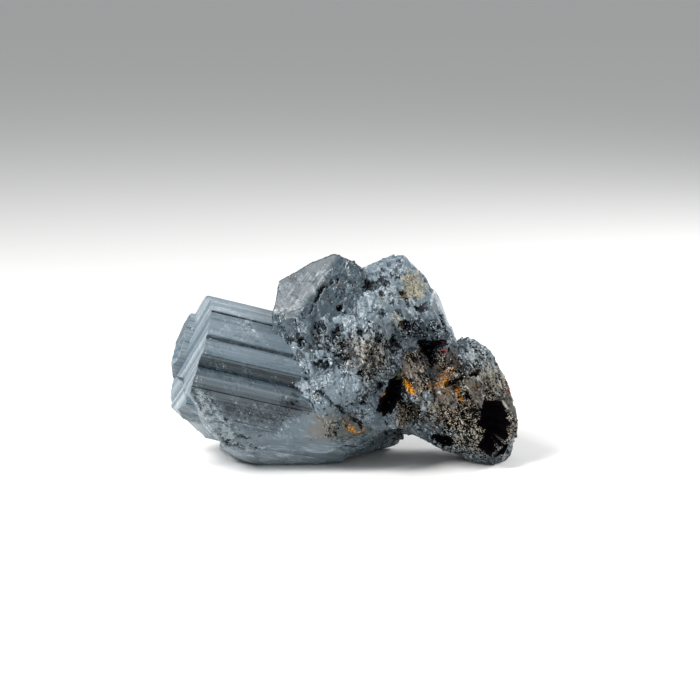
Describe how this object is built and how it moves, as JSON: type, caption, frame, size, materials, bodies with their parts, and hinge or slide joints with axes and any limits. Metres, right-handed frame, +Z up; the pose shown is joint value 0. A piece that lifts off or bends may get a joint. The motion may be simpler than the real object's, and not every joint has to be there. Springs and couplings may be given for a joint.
{
  "type": "black tourmaline specimen",
  "caption": "Palm-sized cluster of black tourmaline: a striated crystal lying across a broken, pitted mass that rests on its underside.",
  "frame": {"origin": "on the surface the specimen rests on, below the middle of its bounding box", "axes": "+X from the free end of the long crystal towards the rounded lobe, +Y towards the back, +Z up"},
  "size_m": [0.0702, 0.04, 0.043],
  "materials": {
    "schorl": "satin"
  },
  "bodies": {
    "root": {"tourmaline_cluster": "schorl"}
  },
  "joints": []
}
